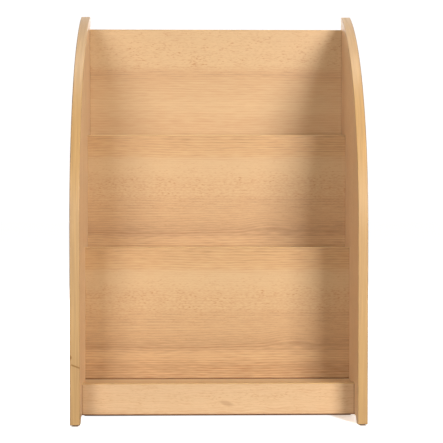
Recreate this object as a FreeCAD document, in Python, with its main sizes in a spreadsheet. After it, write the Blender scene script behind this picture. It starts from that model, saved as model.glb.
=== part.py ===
import FreeCAD, Part
import os

import Sketcher

# A three-tier book display unit of beech-faced board: two side panels with curved fronts, a back
# board, two backrests stepped in front of it, three ledges and a plinth, joined by biscuits and
# dowels. +X points right, +Y to the rear and +Z up. The origin is on the floor, midway between the
# sides and midway from front to rear. Heights run from the floor, and depths from the sides' front
# edge.

SIZES = {
    "width": (535, "over both side panels"),
    "height": (766, "floor to the top of the side panels"),
    "depth": (300, "front to rear of the side panels"),
    "board": (18, "thickness of every board"),
    "edging": (2, "thickness of the edging bands"),
    "arris": (1.5, "radius on the long corners of the edging"),
    "curve_radius": (434, "arc of the side panels' front edge"),
    "top_land": (6, "level top of the side panels behind the arc"),
    "foot": (22, "level foot at each end of a side panel"),
    "foot_ramp": (10, "slope from a foot up to the relieved edge"),
    "base_gap": (12, "floor to the plinth, the back board and the relieved edge"),
    "glide_height": (2, "thickness of a glide's pad"),
    "glide_diameter": (11, "pad of a glide"),
    "glide_inset": (12, "pad's centre from the front or rear of a side panel"),
    "ledge_level": (66, "floor to the top of the base shelf"),
    "lip": (4, "plinth over the base shelf"),
    "tier_pitch": (214, "height from one ledge to the next"),
    "backrest_rise": (249, "height of a backrest over its ledge"),
    "shelf_front": (71.5, "base shelf in front of the lower backrest"),
    "middle_pocket": (52, "lower backrest to the middle backrest"),
    "top_pocket": (52, "middle backrest to the back board"),
    "back_drop": (26, "top of the side panels over the back board"),
    "biscuit_length": (47, "jointing biscuit, along the board's end"),
    "biscuit_width": (15, "jointing biscuit, across the joint"),
    "biscuit_thickness": (4, "jointing biscuit"),
    "biscuit_inset": (50, "biscuit's middle to the edge of its board"),
    "cutter_radius": (50, "saw that cuts the biscuit slots"),
    "dowel_diameter": (8, "wooden dowel"),
    "dowel_length": (30, "wooden dowel"),
    "dowel_in_side": (11, "part of a dowel that stands in the side panel"),
    "dowel_inset": (12, "dowel to the edge of its board"),
    "play": (0.1, "slot or bore over the thickness of what it holds"),
    "end_play": (0.5, "slot or bore beyond the end of what it holds"),
}

# What follows from the sizes. Each backrest steps forward from the board behind it.
PLACES = {
    "inner": "Sizes.width - 2 * Sizes.board",
    "back_front": "Sizes.depth - Sizes.board",
    "middle_front": "Layout.back_front - Sizes.top_pocket - Sizes.board",
    "lower_front": "Layout.middle_front - Sizes.middle_pocket - Sizes.board",
    "plinth_back": "Layout.lower_front - Sizes.shelf_front",
    "middle_level": "Sizes.ledge_level + Sizes.tier_pitch",
    "top_level": "Layout.middle_level + Sizes.tier_pitch",
    "arc_reach": "Sizes.depth - Sizes.top_land",
    "arc_rise": "sqrt(Sizes.curve_radius ^ 2 - (Sizes.curve_radius - Layout.arc_reach) ^ 2)",
    "arc_start": "Sizes.height - Layout.arc_rise",
    "inner_radius": "Sizes.curve_radius - Sizes.edging",
    "core_top": "Sizes.height - Sizes.edging",
    "core_back": "Sizes.depth - Sizes.edging",
    "core_run": "sqrt(Layout.inner_radius ^ 2 - (Layout.core_top - Layout.arc_start) ^ 2)",
    "core_reach": "Sizes.curve_radius - Layout.core_run",
    "slot_depth": "Sizes.biscuit_width / 2 + Sizes.end_play",
    "slot_half": "sqrt(Sizes.cutter_radius ^ 2 - (Sizes.cutter_radius - Layout.slot_depth) ^ 2)",
    "biscuit_bow": "sqrt(Sizes.cutter_radius ^ 2 - (Sizes.biscuit_length / 2) ^ 2)",
    "biscuit_tip": "Sizes.biscuit_width / 2 - Sizes.cutter_radius + Layout.biscuit_bow",
}

# Every board is made flat with its hidden face down: X along it, Y across it and Z through it. An
# upright one is then turned about X. depth and level place its hidden front corner, or the lower
# rear corner of an upright one, and across is its full breadth with any edging. biscuits and
# dowels are where they stand across it, at both ends.
BISCUIT_PAIR = ("Sizes.biscuit_inset", "{across} - Sizes.biscuit_inset")
DOWEL_PAIR = ("Sizes.dowel_inset", "{across} - Sizes.dowel_inset")
BOARDS = {
    "plinth": dict(
        upright=True, edged=True, depth="Layout.plinth_back", level="Sizes.base_gap",
        across="Sizes.ledge_level + Sizes.lip - Sizes.base_gap", dowels=DOWEL_PAIR),
    "base_shelf": dict(
        depth="Layout.plinth_back", level="Sizes.ledge_level - Sizes.board",
        across="Layout.back_front - Layout.plinth_back", biscuits=BISCUIT_PAIR),
    "lower_backrest": dict(
        upright=True, edged=True, depth="Layout.lower_front + Sizes.board",
        level="Sizes.ledge_level", across="Sizes.backrest_rise", biscuits=BISCUIT_PAIR),
    "middle_ledge": dict(
        depth="Layout.lower_front + Sizes.board", level="Layout.middle_level - Sizes.board",
        across="Layout.back_front - Layout.lower_front - Sizes.board",
        biscuits=("{across} / 2",)),
    "middle_backrest": dict(
        upright=True, edged=True, depth="Layout.middle_front + Sizes.board",
        level="Layout.middle_level", across="Sizes.backrest_rise", biscuits=BISCUIT_PAIR),
    "top_ledge": dict(
        depth="Layout.middle_front + Sizes.board", level="Layout.top_level - Sizes.board",
        across="Sizes.top_pocket", dowels=DOWEL_PAIR),
    "back_board": dict(
        upright=True, edged=True, depth="Sizes.depth", level="Sizes.base_gap",
        across="Sizes.height - Sizes.back_drop - Sizes.base_gap",
        biscuits=BISCUIT_PAIR + ("{across} / 3", "{across} * 2 / 3")),
}

UPRIGHT = FreeCAD.Rotation(FreeCAD.Vector(1, 0, 0), 90)
TOLERANCE = 0.001


def make_sheet(doc):
    """Put the driving sizes in a sheet: a name, its value and what it measures on each row."""
    sheet = doc.addObject("Spreadsheet::Sheet", "Sizes")
    for row, (name, (value, meaning)) in enumerate(SIZES.items(), start=1):
        sheet.set(f"A{row}", name)
        sheet.set(f"B{row}", str(value))
        sheet.set(f"C{row}", meaning)
        sheet.setAlias(f"B{row}", name)
    doc.recompute()


def make_layout(doc):
    """Hold the worked-out places as properties bound to the sheet."""
    layout = doc.addObject("App::VarSet", "Layout")
    for name in PLACES:
        layout.addProperty("App::PropertyFloat", name, "Places")
    for name, expression in PLACES.items():
        layout.setExpression(name, expression)
    doc.recompute()
    for name, board in BOARDS.items():
        for key in ("depth", "level", "across"):
            layout.addProperty("App::PropertyFloat", f"{name}_{key}", name)
            layout.setExpression(f"{name}_{key}", board[key])
    doc.recompute()


def value_of(doc, expression):
    """The present value of an expression, for the first shape of a sketch."""
    return float(doc.getObject("Layout").evalExpression(expression))


def place(item, x="0", y="0", z="0"):
    """Bind an object's place."""
    for axis, expression in zip("xyz", (x, y, z)):
        item.setExpression(f"Placement.Base.{axis}", expression)


def place_board(item, board):
    """Put an object drawn in a board's own frame where that board stands."""
    if "upright" in BOARDS[board]:
        item.Placement.Rotation = UPRIGHT
    place(item, "0", f"Layout.{board}_depth - Sizes.depth / 2", f"Layout.{board}_level")


def make_body(doc, name):
    """An empty body that is exported under its label."""
    body = doc.addObject("PartDesign::Body", name)
    body.Label = name
    return body


def origin_plane(body, role):
    """One of a body's own three planes."""
    return next(item for item in body.Origin.OriginFeatures if item.Role == role)


def make_sketch(body, name, role, offset="0"):
    """A sketch on one of a body's own planes, moved along the plane's normal by offset."""
    sketch = body.newObject("Sketcher::SketchObject", name)
    sketch.AttachmentSupport = [(origin_plane(body, role), "")]
    sketch.MapMode = "FlatFace"
    if offset != "0":
        sketch.setExpression("AttachmentOffset.Base.z", offset)
    return sketch


def dimension(sketch, kind, references, expression):
    """Add a dimension to a sketch and bind it."""
    present = value_of(sketch.Document, expression)
    index = sketch.addConstraint(Sketcher.Constraint(kind, *references, present))
    sketch.setExpression(f"Constraints[{index}]", expression)


def draw_outline(sketch, corners, arcs=None):
    """Draw a closed outline. corners are pairs of expressions; arcs maps the number of a side to
    its radius and centre, and every other side is straight."""
    arcs = arcs or {}
    doc = sketch.Document
    first = sketch.GeometryCount
    count = len(corners)
    points = [FreeCAD.Vector(value_of(doc, x), value_of(doc, y), 0) for x, y in corners]
    ends = []
    for side in range(count):
        start, end = points[side], points[(side + 1) % count]
        if side not in arcs:
            sketch.addGeometry(Part.LineSegment(start, end), False)
            ends.append((1, 2))
            continue
        radius, centre = arcs[side]
        middle = FreeCAD.Vector(*[value_of(doc, item) for item in centre], 0)
        bulge = ((start + end) / 2 - middle).normalize() * value_of(doc, radius)
        index = sketch.addGeometry(Part.Arc(start, middle + bulge, end), False)
        forward = sketch.getPoint(index, 1).distanceToPoint(start) < TOLERANCE
        ends.append((1, 2) if forward else (2, 1))
        dimension(sketch, "Radius", (index,), radius)
    for side in range(count):
        following = (side + 1) % count
        references = (first + side, ends[side][1], first + following, ends[following][0])
        sketch.addConstraint(Sketcher.Constraint("Coincident", *references))
    for side, corner in enumerate(corners):
        last = side - 1
        straight = side and last not in arcs
        for axis, kind, level in ((0, "DistanceX", "Vertical"), (1, "DistanceY", "Horizontal")):
            if straight and corner[axis] == corners[last][axis]:
                sketch.addConstraint(Sketcher.Constraint(level, first + last))
            else:
                dimension(sketch, kind, (-1, 1, first + side, ends[side][0]), corner[axis])


def draw_circles(sketch, centres, diameter):
    """Draw equal circles at pairs of expressions."""
    doc = sketch.Document
    radius = value_of(doc, diameter) / 2
    for index, (x, y) in enumerate(centres):
        centre = FreeCAD.Vector(value_of(doc, x), value_of(doc, y), 0)
        sketch.addGeometry(Part.Circle(centre, FreeCAD.Vector(0, 0, 1), radius), False)
        dimension(sketch, "DistanceX", (-1, 1, index, 3), x)
        dimension(sketch, "DistanceY", (-1, 1, index, 3), y)
        if index:
            sketch.addConstraint(Sketcher.Constraint("Equal", 0, index))
    dimension(sketch, "Diameter", (0,), diameter)


def pad(body, name, sketch, length, midplane=False):
    """Raise a sketch by length, to both sides of its plane where it is a midplane."""
    feature = body.newObject("PartDesign::Pad", name)
    feature.Profile = sketch
    feature.Midplane = midplane
    feature.setExpression("Length", length)
    body.Document.recompute()
    return feature


def pocket(body, name, sketch, depth, midplane=False):
    """Sink a sketch against its plane's normal, or both ways where it is a midplane."""
    before = body.Shape.Volume
    feature = body.newObject("PartDesign::Pocket", name)
    feature.Profile = sketch
    feature.Midplane = midplane
    feature.setExpression("Length", depth)
    body.Document.recompute()
    if body.Shape.Volume > before - TOLERANCE:
        raise RuntimeError(f"{name} cuts nothing")
    return feature


def round_edges(body, name, feature, chosen):
    """Round the edges of a feature for which chosen(middle, edge) holds."""
    names = []
    for number, edge in enumerate(feature.Shape.Edges, start=1):
        middle = edge.valueAt((edge.FirstParameter + edge.LastParameter) / 2)
        if chosen(middle, edge):
            names.append(f"Edge{number}")
    fillet = body.newObject("PartDesign::Fillet", name)
    fillet.Base = (feature, names)
    fillet.setExpression("Radius", "Sizes.arris")
    body.Document.recompute()
    return fillet


def fittings(board, kind):
    """Where a board's biscuits or dowels stand across it."""
    return [item.format(across=f"Layout.{board}_across") for item in BOARDS[board].get(kind, ())]


def draw_slot(sketch, face, middle, inward):
    """Draw a biscuit slot sawn inward (1 or -1 along the sketch's x) from a face, about middle."""
    near, far = f"{middle} - Layout.slot_half", f"{middle} + Layout.slot_half"
    centre = f"{face} - {inward} * (Sizes.cutter_radius - Layout.slot_depth)"
    draw_outline(sketch, [(face, near), (face, far)], {1: ("Sizes.cutter_radius", (centre, middle))})


def make_board(doc, name):
    """A board with the slots or bores of its fittings in both ends."""
    board = BOARDS[name]
    across = f"Layout.{name}_across"
    core = f"{across} - Sizes.edging" if "edged" in board else across
    body = make_body(doc, name)
    profile = make_sketch(body, f"{name}_profile", "YZ_Plane")
    draw_outline(profile, [("0", "0"), (core, "0"), (core, "Sizes.board"), ("0", "Sizes.board")])
    pad(body, f"{name}_blank", profile, "Layout.inner", midplane=True)
    if "biscuits" in board:
        marks = make_sketch(body, f"{name}_slot_marks", "XY_Plane", "Sizes.board / 2")
        for middle in fittings(name, "biscuits"):
            draw_slot(marks, "-Layout.inner / 2", middle, 1)
            draw_slot(marks, "Layout.inner / 2", middle, -1)
        thickness = "Sizes.biscuit_thickness + Sizes.play"
        body.Tip = pocket(body, f"{name}_slots", marks, thickness, midplane=True)
    if "dowels" in board:
        marks = make_sketch(body, f"{name}_bore_marks", "YZ_Plane", "Layout.inner / 2")
        draw_circles(marks, [(y, "Sizes.board / 2") for y in fittings(name, "dowels")],
                     "Sizes.dowel_diameter + Sizes.play")
        depth = "Sizes.dowel_length - Sizes.dowel_in_side + Sizes.end_play"
        bores = pocket(body, f"{name}_bores", marks, depth)
        far_bores = body.newObject("PartDesign::Mirrored", f"{name}_far_bores")
        far_bores.Originals = [bores]
        far_bores.MirrorPlane = (origin_plane(body, "YZ_Plane"), [""])
        body.Tip = far_bores
    place_board(body, name)
    doc.recompute()
    return body


def make_board_edging(doc, board):
    """The band along a board's far edge, rounded on its two long corners."""
    across = f"Layout.{board}_across"
    core = f"{across} - Sizes.edging"
    body = make_body(doc, f"{board}_edging")
    profile = make_sketch(body, f"{board}_edging_profile", "YZ_Plane")
    draw_outline(profile, [(core, "0"), (across, "0"), (across, "Sizes.board"), (core, "Sizes.board")])
    band = pad(body, f"{board}_edging_band", profile, "Layout.inner", midplane=True)
    far = value_of(doc, across)
    body.Tip = round_edges(
        body, f"{board}_edging_arris", band,
        lambda middle, edge: abs(middle.y - far) < TOLERANCE and abs(middle.x) < TOLERANCE)
    place_board(body, board)
    return body


def place_side(body):
    """Put a body drawn from the sides' front edge where the left side panel stands."""
    place(body, "-Sizes.width / 2", "-Sizes.depth / 2")


def make_side_panel(doc):
    """The left side panel: a straight front that turns into an arc, two feet, and its bores."""
    body = make_body(doc, "left_side_panel")
    outline = make_sketch(body, "side_outline", "YZ_Plane")
    rear_foot = "Sizes.depth - Sizes.foot"
    corners = [
        ("Sizes.edging", "Layout.arc_start"),
        ("Sizes.edging", "Sizes.glide_height"),
        ("Sizes.foot", "Sizes.glide_height"),
        ("Sizes.foot + Sizes.foot_ramp", "Sizes.base_gap"),
        (f"{rear_foot} - Sizes.foot_ramp", "Sizes.base_gap"),
        (rear_foot, "Sizes.glide_height"),
        ("Layout.core_back", "Sizes.glide_height"),
        ("Layout.core_back", "Layout.core_top"),
        ("Layout.core_reach", "Layout.core_top"),
    ]
    arc = ("Layout.inner_radius", ("Sizes.curve_radius", "Layout.arc_start"))
    draw_outline(outline, corners, {len(corners) - 1: arc})
    pad(body, "side_blank", outline, "Sizes.board")

    for name in BOARDS:
        slot_side(body, name)
        bore_side(body, name)
    body.Tip = body.Group[-1]
    place_side(body)
    return body


def middle_of(board, across="0"):
    """Depth and height on the side panels of a point of a board's mid-thickness."""
    depth, level = f"Layout.{board}_depth", f"Layout.{board}_level"
    if "upright" in BOARDS[board]:
        return f"{depth} - Sizes.board / 2", f"{level} + {across}"
    return f"{depth} + {across}", f"{level} + Sizes.board / 2"


def slot_side(body, board):
    """Saw the slots for a board's biscuits in the side panel's inner face."""
    middles = fittings(board, "biscuits")
    if not middles:
        return
    depth, level = middle_of(board)
    marks = make_sketch(body, f"side_{board}_marks", "XY_Plane", level)
    if "upright" in BOARDS[board]:
        marks.AttachmentOffset.Rotation = UPRIGHT
    marks.setExpression("AttachmentOffset.Base.y", depth)
    for middle in middles:
        draw_slot(marks, "Sizes.board", middle, -1)
    pocket(body, f"side_{board}_slots", marks, "Sizes.biscuit_thickness + Sizes.play", midplane=True)


def bore_side(body, board):
    """Bore the side panel's inner face for a board's dowels."""
    dowels = fittings(board, "dowels")
    if not dowels:
        return
    marks = make_sketch(body, f"side_{board}_marks", "YZ_Plane", "Sizes.board")
    draw_circles(marks, [middle_of(board, across) for across in dowels],
                 "Sizes.dowel_diameter + Sizes.play")
    pocket(body, f"side_{board}_bores", marks, "Sizes.dowel_in_side + Sizes.end_play")


def make_front_edging(doc):
    """The band that runs up the left panel's front, round its arc and over the top to the rear."""
    body = make_body(doc, "left_front_edging")
    outline = make_sketch(body, "front_edging_outline", "YZ_Plane")
    corners = [
        ("0", "Layout.arc_start"),
        ("0", "Sizes.glide_height"),
        ("Sizes.edging", "Sizes.glide_height"),
        ("Sizes.edging", "Layout.arc_start"),
        ("Layout.core_reach", "Layout.core_top"),
        ("Sizes.depth", "Layout.core_top"),
        ("Sizes.depth", "Sizes.height"),
        ("Layout.arc_reach", "Sizes.height"),
    ]
    centre = ("Sizes.curve_radius", "Layout.arc_start")
    arcs = {3: ("Layout.inner_radius", centre), 7: ("Sizes.curve_radius", centre)}
    draw_outline(outline, corners, arcs)
    band = pad(body, "front_edging_band", outline, "Sizes.board")

    top = value_of(doc, "Sizes.height")
    radius = value_of(doc, "Sizes.curve_radius")
    start = value_of(doc, "Layout.arc_start")
    foot = value_of(doc, "Sizes.glide_height")
    board = value_of(doc, "Sizes.board")

    def outside(middle, edge):
        """Edges between the band's outer face and its sides, at its foot and along its level top."""
        along = TOLERANCE < middle.x < board - TOLERANCE
        from_centre = (middle.y - radius) ** 2 + (middle.z - start) ** 2
        on_arc = middle.z > start and abs(from_centre ** 0.5 - radius) < TOLERANCE
        on_front = abs(middle.y) < TOLERANCE
        on_top = abs(middle.z - top) < TOLERANCE
        if along:
            return on_top or on_front and abs(middle.z - foot) < TOLERANCE
        return on_arc or on_front or on_top

    body.Tip = round_edges(body, "front_edging_arris", band, outside)
    place_side(body)
    return body


def make_rear_edging(doc):
    """The straight band up the left panel's rear edge, under the end of the front band."""
    body = make_body(doc, "left_rear_edging")
    outline = make_sketch(body, "rear_edging_outline", "YZ_Plane")
    draw_outline(outline, [
        ("Layout.core_back", "Sizes.glide_height"),
        ("Sizes.depth", "Sizes.glide_height"),
        ("Sizes.depth", "Layout.core_top"),
        ("Layout.core_back", "Layout.core_top"),
    ])
    band = pad(body, "rear_edging_band", outline, "Sizes.board")
    rear = value_of(doc, "Sizes.depth")
    half = value_of(doc, "(Layout.core_top + Sizes.glide_height) / 2")
    body.Tip = round_edges(
        body, "rear_edging_arris", band,
        lambda middle, edge: abs(middle.y - rear) < TOLERANCE and abs(middle.z - half) < TOLERANCE)
    place_side(body)
    return body


def mirror(doc, source, label):
    """The right-hand twin of a left-hand piece."""
    twin = doc.addObject("Part::Mirroring", label)
    twin.Label = label
    twin.Source = source
    twin.Normal = FreeCAD.Vector(1, 0, 0)
    return twin


def make_biscuits(doc, board):
    """A board's biscuits, half in the board and half in the side panels. They have blunt ends."""
    body = make_body(doc, f"{board}_biscuits")
    body.AllowCompound = True
    outline = make_sketch(body, f"{board}_biscuit_outlines", "XY_Plane", "Sizes.board / 2")
    to_centre = "(Sizes.cutter_radius - Sizes.biscuit_width / 2)"
    for middle in fittings(board, "biscuits"):
        low, high = f"{middle} - Sizes.biscuit_length / 2", f"{middle} + Sizes.biscuit_length / 2"
        for face in ("-Layout.inner / 2", "Layout.inner / 2"):
            left, right = f"{face} - Layout.biscuit_tip", f"{face} + Layout.biscuit_tip"
            corners = [(left, low), (right, low), (right, high), (left, high)]
            arcs = {
                1: ("Sizes.cutter_radius", (f"{face} - {to_centre}", middle)),
                3: ("Sizes.cutter_radius", (f"{face} + {to_centre}", middle)),
            }
            draw_outline(outline, corners, arcs)
    body.Tip = pad(body, f"{board}_biscuit_pad", outline, "Sizes.biscuit_thickness", midplane=True)
    place_board(body, board)
    return body


def make_dowels(doc, board):
    """A board's dowels, each standing partly in the board and partly in a side panel."""
    dowels = []
    inner_end = "Layout.inner / 2 + Sizes.dowel_in_side - Sizes.dowel_length"
    for number, across in enumerate(fittings(board, "dowels")):
        for hand, start in (("right", inner_end), ("left", f"-({inner_end}) - Sizes.dowel_length")):
            dowel = doc.addObject("Part::Cylinder", f"{board}_dowel_{number}_{hand}")
            dowel.setExpression("Radius", "Sizes.dowel_diameter / 2")
            dowel.setExpression("Height", "Sizes.dowel_length")
            dowel.Placement.Rotation = FreeCAD.Rotation(FreeCAD.Vector(0, 1, 0), 90)
            place(dowel, start, across, "Sizes.board / 2")
            dowels.append(dowel)
    group = doc.addObject("Part::Compound", f"{board}_dowels")
    group.Label = f"{board}_dowels"
    group.Links = dowels
    place_board(group, board)
    return group


def make_glide(doc, hand, end):
    """The round pad under one foot of a side panel."""
    glide = doc.addObject("Part::Cylinder", f"{end}_{hand}_glide")
    glide.Label = glide.Name
    glide.setExpression("Radius", "Sizes.glide_diameter / 2")
    glide.setExpression("Height", "Sizes.glide_height")
    side = {"left": "-1", "right": "1"}[hand]
    run = {"front": "-1", "rear": "1"}[end]
    across = f"{side} * (Sizes.width - Sizes.board) / 2"
    place(glide, across, f"{run} * (Sizes.depth / 2 - Sizes.glide_inset)")
    return glide


def make_parts(doc):
    """Every sub-part of the unit, in the order that it goes together."""
    parts = []
    for make, name in (
        (make_side_panel, "side_panel"),
        (make_front_edging, "front_edging"),
        (make_rear_edging, "rear_edging"),
    ):
        left = make(doc)
        parts += [left, mirror(doc, left, f"right_{name}")]
    for board, form in BOARDS.items():
        parts.append(make_board(doc, board))
        if "edged" in form:
            parts.append(make_board_edging(doc, board))
        if "biscuits" in form:
            parts.append(make_biscuits(doc, board))
        if "dowels" in form:
            parts.append(make_dowels(doc, board))
    for hand in ("left", "right"):
        for end in ("front", "rear"):
            parts.append(make_glide(doc, hand, end))
    return parts


def check(doc, parts):
    """Stop if any object failed or any sub-part has no valid shape."""
    for item in doc.Objects:
        if {"Invalid", "Error"} & set(item.State):
            raise RuntimeError(f"{item.Label} failed: {item.State}")
    for part in parts:
        if part.Shape.isNull() or not part.Shape.isValid() or not part.Shape.Solids:
            raise RuntimeError(f"{part.Label} has no valid shape")


def main():
    """Build the unit and write one STEP file for each sub-part."""
    doc = FreeCAD.newDocument("BookDisplay")
    make_sheet(doc)
    make_layout(doc)
    parts = make_parts(doc)
    doc.recompute()
    check(doc, parts)
    os.makedirs("parts", exist_ok=True)
    for part in parts:
        part.Shape.exportStep(f"parts/{part.Label}.step")
        print(f"{part.Label}: {len(part.Shape.Solids)} solids, {part.Shape.Volume / 1000:.2f} cm3")


main()
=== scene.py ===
"""Finishes and studio for the three-tier book display unit: beech-faced boards, yellower edging
bands, bare beech joints and dark glides, on a pale floor in soft light.

Lengths are in metres. +X points right, +Y to the rear and +Z up, with the origin on the floor.
"""

import math

import bpy
from bpy.props import FloatProperty, FloatVectorProperty, PointerProperty
from bpy.types import Operator, Panel, PropertyGroup
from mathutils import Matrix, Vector


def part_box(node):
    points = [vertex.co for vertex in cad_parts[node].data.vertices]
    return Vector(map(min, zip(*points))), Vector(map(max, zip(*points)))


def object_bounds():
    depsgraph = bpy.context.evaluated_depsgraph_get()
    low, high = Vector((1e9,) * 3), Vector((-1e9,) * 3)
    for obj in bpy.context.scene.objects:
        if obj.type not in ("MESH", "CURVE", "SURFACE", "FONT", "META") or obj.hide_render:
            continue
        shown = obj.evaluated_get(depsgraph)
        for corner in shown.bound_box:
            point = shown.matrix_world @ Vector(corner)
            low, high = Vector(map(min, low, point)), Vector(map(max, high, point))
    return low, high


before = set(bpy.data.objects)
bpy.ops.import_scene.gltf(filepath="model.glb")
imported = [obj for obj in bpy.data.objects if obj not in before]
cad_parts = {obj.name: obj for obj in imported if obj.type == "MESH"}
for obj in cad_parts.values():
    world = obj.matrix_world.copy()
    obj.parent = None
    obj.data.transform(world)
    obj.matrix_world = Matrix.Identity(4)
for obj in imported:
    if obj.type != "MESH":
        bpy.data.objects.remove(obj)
cad_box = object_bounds()

bl_info = {
    "name": "Book Display Finishes",
    "version": (1, 0, 0),
    "blender": (4, 5, 0),
    "location": "View3D > Sidebar > Book Display",
    "description": "Beech board, edging and glide finishes for a three-tier book display unit",
    "category": "Material",
}

MM = 0.001
RIGHT = Vector((1, 0, 0))
REAR = Vector((0, 1, 0))
UP = Vector((0, 0, 1))
LEFT, FRONT = cad_box[0].xy
BOARD_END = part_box("back_board")[1].x

# A decor runs over this many mm and then turns back.
DECOR_REPEAT = 247

# How deep the tone of a decor's band is, and how strong its fine lines and its flecks are.
PALE, LIGHT, WARM, DEEP, DARK = 0.0, 0.25, 0.5, 0.75, 1.0
FAINT, MILD, STRONG = 0.4, 0.7, 1.0
NONE, FEW, SOME, MANY = 0.0, 0.2, 0.5, 0.85

# The bands of the printed beech decors. Each row is a distance in mm across the grain from the
# board's top or front edge, and the tone, the lines and the flecks there.
BACKREST_DECOR = (
    (0, DARK, MILD, NONE),
    (4, WARM, STRONG, NONE),
    (20, WARM, STRONG, NONE),
    (40, LIGHT, STRONG, NONE),
    (55, PALE, FAINT, FEW),
    (70, PALE, FAINT, SOME),
    (90, LIGHT, FAINT, MANY),
    (115, LIGHT, FAINT, MANY),
    (125, WARM, MILD, SOME),
    (155, WARM, MILD, FEW),
    (175, DEEP, MILD, FEW),
    (190, DARK, STRONG, NONE),
    (200, WARM, STRONG, NONE),
    (210, WARM, STRONG, NONE),
    (225, DARK, STRONG, NONE),
    (DECOR_REPEAT, DARK, STRONG, NONE),
)
BACK_DECOR = (
    (0, LIGHT, FAINT, NONE),
    (5, PALE, FAINT, SOME),
    (40, PALE, FAINT, MANY),
    (70, PALE, FAINT, MANY),
    (85, WARM, MILD, FEW),
    (95, WARM, MILD, NONE),
    (110, LIGHT, MILD, NONE),
    (130, LIGHT, MILD, NONE),
    (150, PALE, MILD, NONE),
    (180, LIGHT, MILD, NONE),
    (210, LIGHT, MILD, NONE),
    (DECOR_REPEAT, WARM, MILD, FEW),
)
SIDE_DECOR = (
    (0, WARM, MILD, NONE),
    (50, LIGHT, MILD, FEW),
    (150, LIGHT, MILD, SOME),
    (200, LIGHT, MILD, FEW),
    (DECOR_REPEAT, WARM, MILD, NONE),
)
PLINTH_DECOR = (
    (0, PALE, MILD, FEW),
    (25, PALE, MILD, SOME),
    (45, PALE, MILD, FEW),
    (50, LIGHT, MILD, FEW),
    (60, WARM, MILD, FEW),
    (DECOR_REPEAT, WARM, MILD, FEW),
)

# Patterns of the printed faces, as their length along the grain and their width across it.
SLOW_BANDS = (0.30, 0.06)
SHORT_WAVES = (0.040, 0.020)
FLECK_CLOUDS = (0.030, 0.012)
MOTTLES = (0.20, 0.07)

# Where one group of lines sweeps up: along the grain, how far, and its band across the grain.
ARCH_RUN = (0.026, 0.108)
ARCH_RISE = 0.010
ARCH_TOP = (0.140, 0.166)
ARCH_FOOT = (0.196, 0.174)

# Growth lines. The finer ones are this share as long and this many times as narrow as the others.
FINE_LINE_LENGTH = 0.05
FINE_LINE_PITCH = 1.2
LONG_LINE_STRENGTH = 0.38
RING_STRENGTH = 0.13
RING_DRIFT = 9.0
LINE_CONTRAST = 1.7

# Ray flecks: the noise over which a dash turns dark, and the broader one over which they gather.
DASH_FADE = (0.58, 0.68)
CLOUD_FADE = (0.42, 0.62)
FLECK_GAIN = 0.85
STRAY_FLECKS = 0.10
STIPPLE_CONTRAST = 2.0
FLECK_COVER = 0.75

# A depth of 0 is the pale tone, 0.5 the warm one and 1 the dark one. The colour ramp takes half of
# a depth, and starts at a still paler tone this far below 0.
DEPTH_BELOW = 0.25
TONE_STOPS = (0.125, 0.375, 0.625)
PALEST = 1.04

# Near a decor's start, within these mm, the strongly lined part is yellower.
YELLOW_FADE = (48, 36)
YELLOW_LINES = (0.6, 1.0)

# Painted shade lines, as width and strength: at the ends of the boards where they meet the side
# panels, along the foot of the lower backrest and the bottom of the plinth, and along the base
# shelf's rear.
BACKREST_SEAM = (0.9 * MM, 0.08)
BACK_SEAM = (1.6 * MM, 0.42)
PLINTH_SEAM = (2.6 * MM, 0.55)
BACKREST_FOOT = (1.8 * MM, 0.95)
SHELF_FOOT = (7 * MM, 0.6)
PLINTH_FOOT = (2.0 * MM, 0.95)
SEAM_FULL = 0.3
FOOT_FULL = 0.6

# The lower backrest comes from the same sheet as the middle one, this far along it.
LOWER_SHIFT = 0.040
PLINTH_WAVES = 0.012

FLECK_TONE = (0.40, 0.165, 0.035)
YELLOW_TONE = (1.0, 0.97, 0.90)
MOTTLE_TONE = (0.42, 0.24, 0.12)
MOTTLE_FADE = (0.30, 0.70)
MOTTLE_COVER = 0.07
# The next three colours are painted shade: at the boards' ends, along their feet, and on the bands'
# outer corners.
SEAM_SHADE_TONE = (0.22, 0.075, 0.018)
FOOT_SHADE_TONE = (0.15, 0.045, 0.004)
ARRIS_SHADE_TONE = (0.24, 0.13, 0.06)
WORN_TONE = (0.26, 0.115, 0.018)

# How squarely a face has to look through the board to be printed, how deep the relief is, and what
# bare chipboard is like.
PRINTED_TURN = (0.55, 0.75)
BOARD_RELIEF = 0.08 * MM
BAND_RELIEF = 0.05 * MM
CHIP_SCALE = 520.0
CHIPBOARD_ROUGHNESS = 0.92

# The knot on the plinth is drawn out along the grain and a little down to the right.
KNOT_MIDDLE = Vector((0.0146, 0, 0.033))
KNOT_ALONG = Vector((0.97, 0, -0.24))
KNOT_OVER = Vector((0.24, 0, 0.97))
KNOT_HALVES = (19 * MM, 6.5 * MM)
KNOT_TONE = (0.30, 0.14, 0.05)
KNOT_COVER = 0.36

# Edging bands: width and length of their printed lines, and how far in from the outer corner the
# strip of painted shade on the rounded corner begins and is full.
BAND_LINE_WIDTH = 1.3 * MM
BAND_LINE_LENGTH = 0.11
ARRIS_SHADE_FROM, ARRIS_SHADE_FULL = 2.0 * MM, 0.8 * MM
ARRIS_SHADE_COVER = 0.6

# The worn places of the left front band: the two ends of a butt joint, a crack that leans up from
# it and where it stands along X, and a dent in the outer corner. Each width is where the dark part
# ends and where it has faded out.
JOINT_OUTER = Vector((LEFT + 0.7 * MM, 0, 0.1118))
JOINT_INNER = Vector((LEFT + 17.5 * MM, 0, 0.1054))
JOINT_WIDTH = (0.7 * MM, 2.0 * MM)
JOINT_COVER = 0.90
CRACK_FOOT = LEFT + 3.5 * MM
CRACK_LEAN = 0.35
CRACK_HEIGHT = 9 * MM
CRACK_WIDTH = (0.2 * MM, 0.9 * MM)
CRACK_COVER = 0.35
DENT_MIDDLE = Vector((LEFT, FRONT, 0.1240))
DENT_WIDTH = (2.6 * MM, 5.0 * MM)
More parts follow.
